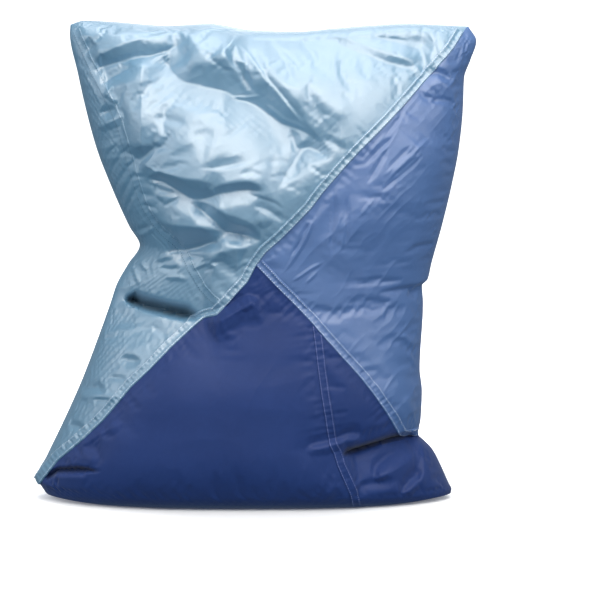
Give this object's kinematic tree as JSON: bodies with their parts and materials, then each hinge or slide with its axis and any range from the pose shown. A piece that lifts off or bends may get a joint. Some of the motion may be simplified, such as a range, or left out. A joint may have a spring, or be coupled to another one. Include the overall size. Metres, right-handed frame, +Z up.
{
  "type": "floor pouf",
  "caption": "Large free-standing floor pouf: a loosely filled flat-sewn sack of thin sailcloth with a colour-blocked front of triangles and a plain back.",
  "frame": {"origin": "on the floor, under the middle of the sack's bounding box", "axes": "+Z up, +X to the right as seen from the front, the colour-blocked front faces -Y"},
  "size_m": [1.1467, 0.4674, 1.243],
  "materials": {
    "sailcloth_light": "glossy crinkled",
    "sailcloth_mid": "glossy crinkled",
    "sailcloth_navy": "satin"
  },
  "bodies": {
    "root": {"front_top_panel": "sailcloth_light", "front_left_panel": "sailcloth_light", "front_right_panel": "sailcloth_mid", "front_bottom_panel": "sailcloth_navy", "front_corner_panel": "sailcloth_navy", "back_panel": "sailcloth_mid"}
  },
  "joints": []
}
